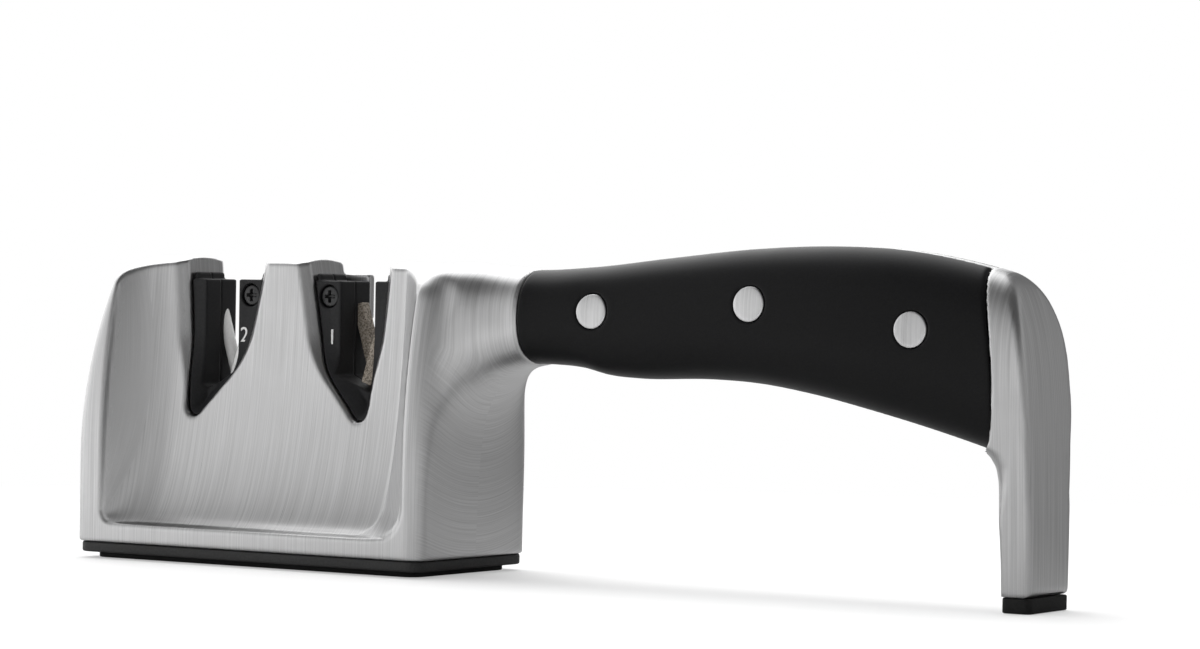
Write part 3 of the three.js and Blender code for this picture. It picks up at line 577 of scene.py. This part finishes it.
def start_material(name):
    material = bpy.data.materials.new(name)
    material.use_nodes = True
    nodes, links = material.node_tree.nodes, material.node_tree.links
    shader = nodes["Principled BSDF"]
    place = nodes.new("ShaderNodeTexCoord")
    return material, nodes, links, shader, place.outputs["Object"]


def ramp(nodes, links, value, low, high, lowest=0.3, highest=0.7):
    node = nodes.new("ShaderNodeMix")
    node.data_type = "RGBA"
    spread_out = nodes.new("ShaderNodeMapRange")
    spread_out.inputs["From Min"].default_value = lowest
    spread_out.inputs["From Max"].default_value = highest
    links.new(value, spread_out.inputs["Value"])
    links.new(spread_out.outputs[0], node.inputs["Factor"])
    node.inputs["A"].default_value = (*low, 1)
    node.inputs["B"].default_value = (*high, 1)
    return node.outputs["Result"]


def span(nodes, links, value, low, high, lowest=0.3, highest=0.7):
    node = nodes.new("ShaderNodeMapRange")
    node.inputs["From Min"].default_value = lowest
    node.inputs["From Max"].default_value = highest
    node.inputs["To Min"].default_value = low
    node.inputs["To Max"].default_value = high
    links.new(value, node.inputs["Value"])
    return node.outputs[0]


def bump(nodes, links, height, shader, strength, distance):
    node = nodes.new("ShaderNodeBump")
    node.inputs["Strength"].default_value = strength
    node.inputs["Distance"].default_value = distance
    links.new(height, node.inputs["Height"])
    links.new(node.outputs["Normal"], shader.inputs["Normal"])


def math_node(nodes, links, kind, first, second=None):
    node = nodes.new("ShaderNodeMath")
    node.operation = kind
    for socket, value in zip(node.inputs, (first, second)):
        if isinstance(value, float):
            socket.default_value = value
        elif value is not None:
            links.new(value, socket)
    return node.outputs[0]


def blend_values(nodes, links, share, first, second):
    node = nodes.new("ShaderNodeMix")
    links.new(share, node.inputs["Factor"])
    links.new(first, node.inputs["A"])
    links.new(second, node.inputs["B"])
    return node.outputs["Result"]


def brushed_steel(name, low, high, rough):
    """Brushed metal: upright lines on every side, and arcs around the neck on the block's end."""
    material, nodes, links, shader, place = start_material(name)
    shader.inputs["Metallic"].default_value = 1.0
    where = nodes.new("ShaderNodeSeparateXYZ")
    links.new(place, where.inputs[0])
    x, y, z = where.outputs
    facing = nodes.new("ShaderNodeSeparateXYZ")
    links.new(nodes.new("ShaderNodeTexCoord").outputs["Normal"], facing.inputs[0])
    along_x = math_node(nodes, links, "ABSOLUTE", facing.outputs[0])
    endwise = span(nodes, links, along_x, 0.0, 1.0, 0.5, 0.85)

    def lines_on(across, along):
        flat = nodes.new("ShaderNodeCombineXYZ")
        links.new(across, flat.inputs[0])
        links.new(along, flat.inputs[2])
        group = nodes.new("ShaderNodeGroup")
        group.node_tree = BRUSH
        group.inputs["Across"].default_value = 2600.0
        group.inputs["Along"].default_value = 24.0
        links.new(flat.outputs[0], group.inputs["Vector"])
        return group

    upright = lines_on(blend_values(nodes, links, endwise, x, y), z)
    rise = math_node(nodes, links, "SUBTRACT", z, 0.062)
    squares = [math_node(nodes, links, "MULTIPLY", value, value) for value in (y, rise)]
    radius = math_node(nodes, links, "SQRT", math_node(nodes, links, "ADD", *squares))
    turn = math_node(nodes, links, "MULTIPLY", math_node(nodes, links, "ARCTAN2", y, rise), 0.03)
    arcs = lines_on(radius, turn)
    at_block = math_node(nodes, links, "MULTIPLY", span(nodes, links, x, 1.0, 0.0, 0.0, 0.02),
                         span(nodes, links, x, 0.0, 1.0, -0.034, -0.026))
    lines = blend_values(nodes, links, math_node(nodes, links, "MULTIPLY", endwise, at_block),
                         upright.outputs["Lines"], arcs.outputs["Lines"])
    clouds = upright.outputs["Clouds"]
    links.new(ramp(nodes, links, lines, low, high, 0.32, 0.68), shader.inputs["Base Color"])
    mixed = math_node(nodes, links, "ADD", span(nodes, links, lines, -0.05, 0.05),
                      span(nodes, links, clouds, rough - 0.03, rough + 0.03))
    links.new(mixed, shader.inputs["Roughness"])
    bump(nodes, links, lines, shader, 0.06, 0.00005)
    return material


def grained(name, low, high, rough, scale, strength, distance, specular=0.5):
    material, nodes, links, shader, place = start_material(name)
    shader.inputs["Specular IOR Level"].default_value = specular
    group = nodes.new("ShaderNodeGroup")
    group.node_tree = GRAIN
    group.inputs["Scale"].default_value = scale
    links.new(place, group.inputs["Vector"])
    links.new(ramp(nodes, links, group.outputs["Grain"], low, high), shader.inputs["Base Color"])
    uneven = span(nodes, links, group.outputs["Patches"], rough - 0.04, rough + 0.04)
    links.new(uneven, shader.inputs["Roughness"])
    bump(nodes, links, group.outputs["Grain"], shader, strength, distance)
    return material


def grit():
    """Crushed abrasive: pale and dark specks in a warm grey binder."""
    material, nodes, links, shader, place = start_material("diamond_grit")
    specks = nodes.new("ShaderNodeTexVoronoi")
    specks.inputs["Scale"].default_value = 3200.0
    links.new(place, specks.inputs["Vector"])
    tone = nodes.new("ShaderNodeSeparateColor")
    links.new(specks.outputs["Color"], tone.inputs[0])
    colour = ramp(nodes, links, tone.outputs[0], (0.10, 0.08, 0.06), (0.42, 0.37, 0.31), 0.0, 1.0)
    links.new(colour, shader.inputs["Base Color"])
    links.new(span(nodes, links, tone.outputs[1], 0.45, 0.9, 0.0, 1.0), shader.inputs["Roughness"])
    bump(nodes, links, specks.outputs["Distance"], shader, 0.7, 0.0001)
    return material


steel = brushed_steel("brushed_steel", (0.47, 0.47, 0.472), (0.66, 0.66, 0.663), 0.34)
rivet_steel = brushed_steel("rivet_steel", (0.55, 0.55, 0.553), (0.71, 0.71, 0.713), 0.32)
scale_black = grained("black_scale", (0.0045, 0.0045, 0.005), (0.0075, 0.0075, 0.008),
                      0.38, 2600.0, 0.12, 0.00004, 0.14)
holder_black = grained("holder_plastic", (0.012, 0.012, 0.013), (0.018, 0.018, 0.019),
                       0.5, 2400.0, 0.3, 0.00006, 0.25)
plate_black = grained("plate_plastic", (0.012, 0.012, 0.012), (0.026, 0.026, 0.026),
                      0.6, 1700.0, 0.5, 0.00012)
rubber_black = grained("rubber", (0.010, 0.010, 0.010), (0.016, 0.016, 0.016),
                       0.78, 1500.0, 0.3, 0.00008, 0.3)
screw_black = grained("black_screw", (0.016, 0.016, 0.017), (0.03, 0.03, 0.031), 0.34, 1800.0, 0.1, 0.00003)
ceramic = grained("white_ceramic", (0.80, 0.80, 0.79), (0.88, 0.88, 0.87), 0.42, 1800.0, 0.08, 0.00003)
label_white = grained("label_white", (0.74, 0.74, 0.73), (0.82, 0.82, 0.81), 0.5, 2600.0, 0.05, 0.00002)
diamond = grit()

# The casting: block with neck, then tang, butt and leg, as one piece
step = 0.5
low = (-1.5, -24.5, 2.0)
xs, ys, zs = axes(low, (BOLSTER + 2, 24.5, 77.0), step)
block_points, block_faces, block_normals = skin(block_field(xs, ys, zs, step), low, step)
low = (BOLSTER - 3, -14.0, 1.5)
xs, ys, zs = axes(low, (258.0, 14.0, 81.0), step)
rear_points, rear_faces, rear_normals = skin(rear_field(xs, ys, zs, step), low, step)
casting = place_mesh(
    "casting", np.concatenate([block_points, rear_points]),
    np.concatenate([block_faces, rear_faces + len(block_points)]),
    np.concatenate([block_normals, rear_normals]), steel)
settle(casting, "frame", "brushed_steel", "body_casting")

# Handle scales and rivets
for name, side in [("front_scale", -1), ("rear_scale", 1)]:
    low = (BOLSTER - 2, -14.0 if side < 0 else 0.5, 25.0)
    xs, ys, zs = axes(low, (249.0, -0.5 if side < 0 else 14.0, 81.0), step)
    piece = place_mesh(f"{name}_grip", *skin(scale_field(xs, ys, zs, step, side), low, step), scale_black)
    settle(piece, "frame", "black_scale", name)


def handle_depth(x, z):
    """Half thickness of the handle at a place in side view."""
    top, bottom, power = handle_top(x), handle_bottom(x), handle_power(x)
    tall = np.abs(z - (top + bottom) / 2) / ((top - bottom) / 2)
    return float(handle_half(x) * np.maximum(1 - tall**power, 0) ** (1 / power))


for number, (px, pz) in enumerate(rivet_places(), 1):
    rings = []
    for side in (-1, 1):
        caps = [(0.3, 0.15), (1.5, 0.15), (2.8, 0.15), (3.6, 0.15), (3.85, 0.1), (3.97, 0.0), (4.0, -0.6)]
        half = []
        for r, sink in caps:
            ring = []
            for i in range(48):
                a = 2 * math.pi * i / 48
                x, z = px + r * math.cos(a), pz + r * math.sin(a)
                ring.append((x, side * (handle_depth(x, z) + sink), z))
            half.append(ring)
        rings += half if side < 0 else half[::-1]
    piece = place_mesh(f"rivet_{number}_head", *ring_walls(rings), None, rivet_steel)
    auto_smooth(piece, 50)
    settle(piece, "frame", "rivet_steel", f"rivet_{number}")

# Cartridges
for stage, hand in [("fine", -1), ("coarse", 1)]:
    body = f"{stage}_cartridge"
    ends = sorted([TOWER_CENTRE + hand * 4.5, TOWER_CENTRE + hand * 32.5])
    fine = 0.35
    for half, side in [("front", -1), ("rear", 1)]:
        low = (ends[0], -14.0 if side < 0 else -0.5, 34.0)
        xs, ys, zs = axes(low, (ends[1], 0.5 if side < 0 else 14.0, 72.0), fine)
        surface = skin(holder_field(xs, ys, zs, fine, hand, side), low, fine)
        piece = place_mesh(f"{stage}_holder_{half}_half", *surface, holder_black)
        settle(piece, body, "holder_plastic", f"{stage}_holder_{half}")
    fine = 0.14
    centre = TOWER_CENTRE + hand * SCREW_OFFSET
    low = (centre - 3, -6.3, SCREW_HEIGHT - 3)
    xs, ys, zs = axes(low, (centre + 3, 8.4, SCREW_HEIGHT + 3), fine)
    surface = skin(screw_field(xs, ys, zs, hand), low, fine)
    piece = place_mesh(f"{stage}_screw_head", *surface, screw_black)
    settle(piece, body, "black_screw", f"{stage}_cartridge_screw")
    for lean, which in [(-1, "left"), (1, "right")]:
        set_back = stage == "fine" and lean == -hand
        top = FINE_INNER_TOP if set_back else INNER_TOP if lean == -hand else OUTER_TOP
        middle = (top + ABRASIVE_FOOT) / 2
        length = (top - ABRASIVE_FOOT) / math.cos(TILT)
        crossing = CROSS_OFFSET - FINE_INNER_SET_BACK * set_back
        centre = (TOWER_CENTRE + hand * crossing + lean * ABRASIVE_HALF / math.cos(TILT)
                  + math.tan(lean * TILT) * (middle - CROSS_HEIGHT))
        turn = Matrix.Translation((centre, -lean * ABRASIVE_LAYER, middle)) @ Matrix.Rotation(lean * TILT, 4, "Y")
        if stage == "fine":
            end = length / 2
            points, faces = turned([
                (0.8, -end), (1.25, -end + 0.12), (ABRASIVE_HALF, -end + 0.4), (ABRASIVE_HALF, 0),
                (ABRASIVE_HALF, end - 0.4), (1.25, end - 0.12), (0.8, end)])
            finish, slot, node = ceramic, "white_ceramic", f"ceramic_rod_{which}"
        else:
            points, faces = moulded_plate(-ABRASIVE_HALF, ABRASIVE_HALF, ABRASIVE_HALF, 0.35,
                                          -length / 2, length / 2, 0.25)
            finish, slot, node = diamond, "diamond_grit", f"diamond_bar_{which}"
        placed = [tuple(turn @ Vector(p)) for p in points]
        piece = place_mesh(f"{node}_stick", placed, faces, None, finish)
        auto_smooth(piece, 45)
        settle(piece, body, slot, node)
    words = bpy.data.curves.new(f"{stage}_number", "FONT")
    words.body = "1" if stage == "coarse" else "2"
    words.size = 0.0052
    words.extrude = 0.00015
    words.align_x = "CENTER"
    words.align_y = "CENTER"
    words.materials.append(label_white)
    sign = bpy.data.objects.new(f"{stage}_number", words)
    bpy.context.scene.collection.objects.link(sign)
    sign.location = ((TOWER_CENTRE + hand * NUMBER_OFFSET - MIDDLE) * 0.001, -0.00615, 0.0553)
    sign.rotation_euler = (math.radians(90), 0, 0)
    settle(sign, body, "white_ceramic")

# Base, pad, foot and hidden screws
for name, sizes, finish, slot, node in [
        ("base_plate_moulding", (0.6, 104.4, 22.4, 4.0, 1.4, 3.9, 0.5), plate_black, "plate_plastic", "base_plate"),
        ("non_slip_sheet", (3.6, 101.4, 19.4, 4.0, 0.0, 1.3, 0.3), rubber_black, "rubber", "non_slip_pad"),
        ("foot_cap_moulding", (248.7, 255.85, 9.55, 1.6, 0.0, 3.3, 0.35), rubber_black, "rubber", "foot_cap")]:
    piece = place_mesh(name, *moulded_plate(*sizes), None, finish)
    auto_smooth(piece)
    settle(piece, "frame", slot, node)
for number in range(1, 5):
    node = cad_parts[f"base_screw_{number}"]
    node.data.materials.clear()
    node.data.materials.append(screw_black)

# Studio: pale floor that runs out to white, soft lamps and a bright surround
scene = bpy.context.scene
scene.view_settings.view_transform = "Standard"
floor_mesh = bpy.data.meshes.new("floor")
FLOOR_HALF, FLOOR_LEVEL = 4, -0.0001
floor_corners = [(x * FLOOR_HALF, y * FLOOR_HALF, FLOOR_LEVEL) for x, y in [(-1, -1), (1, -1), (1, 1), (-1, 1)]]
floor_mesh.from_pydata(floor_corners, [], [(0, 1, 2, 3)])
floor = bpy.data.objects.new("floor", floor_mesh)
scene.collection.objects.link(floor)
floor_paint = bpy.data.materials.new("floor_paint")
floor_paint.use_nodes = True
nodes, links = floor_paint.node_tree.nodes, floor_paint.node_tree.links
shader = nodes["Principled BSDF"]
shader.inputs["Roughness"].default_value = 0.9
shader.inputs["Specular IOR Level"].default_value = 0.0
place = nodes.new("ShaderNodeTexCoord")
far = nodes.new("ShaderNodeVectorMath")
far.operation = "LENGTH"
links.new(place.outputs["Object"], far.inputs[0])
reach = nodes.new("ShaderNodeMapRange")
reach.interpolation_type = "SMOOTHSTEP"
reach.inputs["From Min"].default_value = 0.2
reach.inputs["From Max"].default_value = 0.42
reach.inputs["To Min"].default_value = 0.4
links.new(far.outputs["Value"], reach.inputs["Value"])
path = nodes.new("ShaderNodeLightPath")
tint = nodes.new("ShaderNodeMix")
tint.data_type = "RGBA"
# Painted shade: for rays from the object the floor goes from 0.8 grey at the front left to 0.2 at the back right,
# which darkens the reflections in the faces turned to the right. The camera sees the floor at 0.95.
slope = nodes.new("ShaderNodeVectorMath")
slope.operation = "DOT_PRODUCT"
slope.inputs[1].default_value = (0.545, 0.838, 0)
links.new(place.outputs["Object"], slope.inputs[0])
shade = nodes.new("ShaderNodeMapRange")
shade.inputs["From Min"].default_value = -0.25
shade.inputs["From Max"].default_value = 0.25
shade.inputs["To Min"].default_value = 0.8
shade.inputs["To Max"].default_value = 0.2
links.new(slope.outputs["Value"], shade.inputs["Value"])
links.new(shade.outputs[0], tint.inputs["A"])
tint.inputs["B"].default_value = (0.95, 0.95, 0.95, 1)
links.new(path.outputs["Is Camera Ray"], tint.inputs["Factor"])
links.new(tint.outputs["Result"], shader.inputs["Base Color"])
seen = nodes.new("ShaderNodeMath")
seen.operation = "MULTIPLY"
links.new(reach.outputs[0], seen.inputs[0])
links.new(path.outputs["Is Camera Ray"], seen.inputs[1])
glow = nodes.new("ShaderNodeEmission")
mixed = nodes.new("ShaderNodeMixShader")
links.new(seen.outputs[0], mixed.inputs[0])
links.new(shader.outputs[0], mixed.inputs[1])
links.new(glow.outputs[0], mixed.inputs[2])
links.new(mixed.outputs[0], nodes["Material Output"].inputs["Surface"])
floor_mesh.materials.append(floor_paint)

world = bpy.data.worlds.new("studio")
scene.world = world
world.use_nodes = True
nodes, links = world.node_tree.nodes, world.node_tree.links
back = nodes["Background"]
back.inputs["Color"].default_value = (1, 1, 1, 1)
path = nodes.new("ShaderNodeLightPath")
place = nodes.new("ShaderNodeTexCoord")
way = nodes.new("ShaderNodeVectorMath")
way.operation = "DOT_PRODUCT"
links.new(place.outputs["Generated"], way.inputs[0])
way.inputs[1].default_value = (-0.454, 0.268, -1.1)
sky = nodes.new("ShaderNodeMapRange")
sky.inputs["From Min"].default_value = -1.0
sky.inputs["From Max"].default_value = 1.0
sky.inputs["To Min"].default_value = 0.1
sky.inputs["To Max"].default_value = 2.1
links.new(way.outputs["Value"], sky.inputs["Value"])
surround = sky.outputs[0]
for toward, fade, glow in [((-0.5, 0.55, 0.67), (0.7, 0.95), 0.65), ((-0.5, 0.3, 0.81), (0.82, 0.97), 1.1)]:
    aim = nodes.new("ShaderNodeVectorMath")
    aim.operation = "DOT_PRODUCT"
    links.new(place.outputs["Generated"], aim.inputs[0])
    aim.inputs[1].default_value = toward
    patch = nodes.new("ShaderNodeMapRange")
    patch.interpolation_type = "SMOOTHSTEP"
    patch.inputs["From Min"].default_value = fade[0]
    patch.inputs["From Max"].default_value = fade[1]
    patch.inputs["To Max"].default_value = glow
    links.new(aim.outputs["Value"], patch.inputs["Value"])
    surround = math_node(nodes, links, "ADD", surround, patch.outputs[0])
level = nodes.new("ShaderNodeMix")
links.new(path.outputs["Is Camera Ray"], level.inputs["Factor"])
links.new(surround, level.inputs["A"])
level.inputs["B"].default_value = 1.0
links.new(level.outputs["Result"], back.inputs["Strength"])


def card(name, start, end, height, glow_start, glow_end):
    """An upright card on the floor, seen only in reflections, its glow going from one end to the other."""
    mesh = bpy.data.meshes.new(name)
    mesh.from_pydata([(*start, 0), (*end, 0), (*end, height), (*start, height)], [], [(0, 1, 2, 3)])
    paint = bpy.data.materials.new(name)
    paint.use_nodes = True
    nodes, links = paint.node_tree.nodes, paint.node_tree.links
    place = nodes.new("ShaderNodeTexCoord")
    where = nodes.new("ShaderNodeSeparateXYZ")
    links.new(place.outputs["Object"], where.inputs[0])
    dim = nodes.new("ShaderNodeEmission")
    glow = span(nodes, links, where.outputs[0], glow_start[1], glow_end[1], glow_start[0], glow_end[0])
    links.new(glow, dim.inputs["Strength"])
    links.new(dim.outputs[0], nodes["Material Output"].inputs["Surface"])
    mesh.materials.append(paint)
    piece = bpy.data.objects.new(name, mesh)
    scene.collection.objects.link(piece)
    piece.visible_camera = False
    piece.visible_diffuse = False
    piece.visible_shadow = False


# Dim cards shade the faces turned to the right, and the leg's front
card("right_card", (-0.02, 0.34), (1.1, 0.2), 0.6, (0.15, 0.19), (0.36, 0.46))
card("leg_card", (-0.11, -0.277), (-0.01, -0.343), 0.25, (-0.11, 0.6), (-0.01, 0.6))


def lamp(name, place, target, wide, tall, watts):
    data = bpy.data.lights.new(name, "AREA")
    data.shape = "RECTANGLE"
    data.size = wide
    data.size_y = tall
    data.energy = watts
    light = bpy.data.objects.new(name, data)
    scene.collection.objects.link(light)
    light.visible_glossy = False
    light.location = place
    light.rotation_euler = (Vector(target) - Vector(place)).to_track_quat("-Z", "Y").to_euler()


lamp("key", (-1.0, -1.1, 1.0), (0, 0, 0.04), 1.3, 1.3, 7.0)
lamp("top", (0.0, 0.15, 1.3), (0, 0, 0.04), 1.4, 0.7, 10.5)
lamp("rear_left", (-1.0, 0.9, 0.7), (-0.05, 0, 0.05), 0.8, 0.8, 2.0)

# Camera at the photograph's place
camera_data = bpy.data.cameras.new("camera")
camera_data.sensor_fit = "HORIZONTAL"
camera_data.sensor_width = 36.0
camera_data.lens = 115.14
camera_data.clip_start = 0.01
camera = bpy.data.objects.new("camera", camera_data)
scene.collection.objects.link(camera)
azimuth, elevation, roll = (math.radians(a) for a in (33.02, 0.52, 0.94))
level_out = math.cos(elevation)
back_way = Vector((math.sin(azimuth) * level_out, -math.cos(azimuth) * level_out, math.sin(elevation)))
right = Vector((math.cos(azimuth), math.sin(azimuth), 0))
up = back_way.cross(right)
right, up = (math.cos(roll) * right + math.sin(roll) * up, -math.sin(roll) * right + math.cos(roll) * up)
camera.matrix_world = Matrix((
    (right.x, up.x, back_way.x, 0.495904), (right.y, up.y, back_way.y, -0.745838),
    (right.z, up.z, back_way.z, 0.067899), (0, 0, 0, 1)))
scene.camera = camera
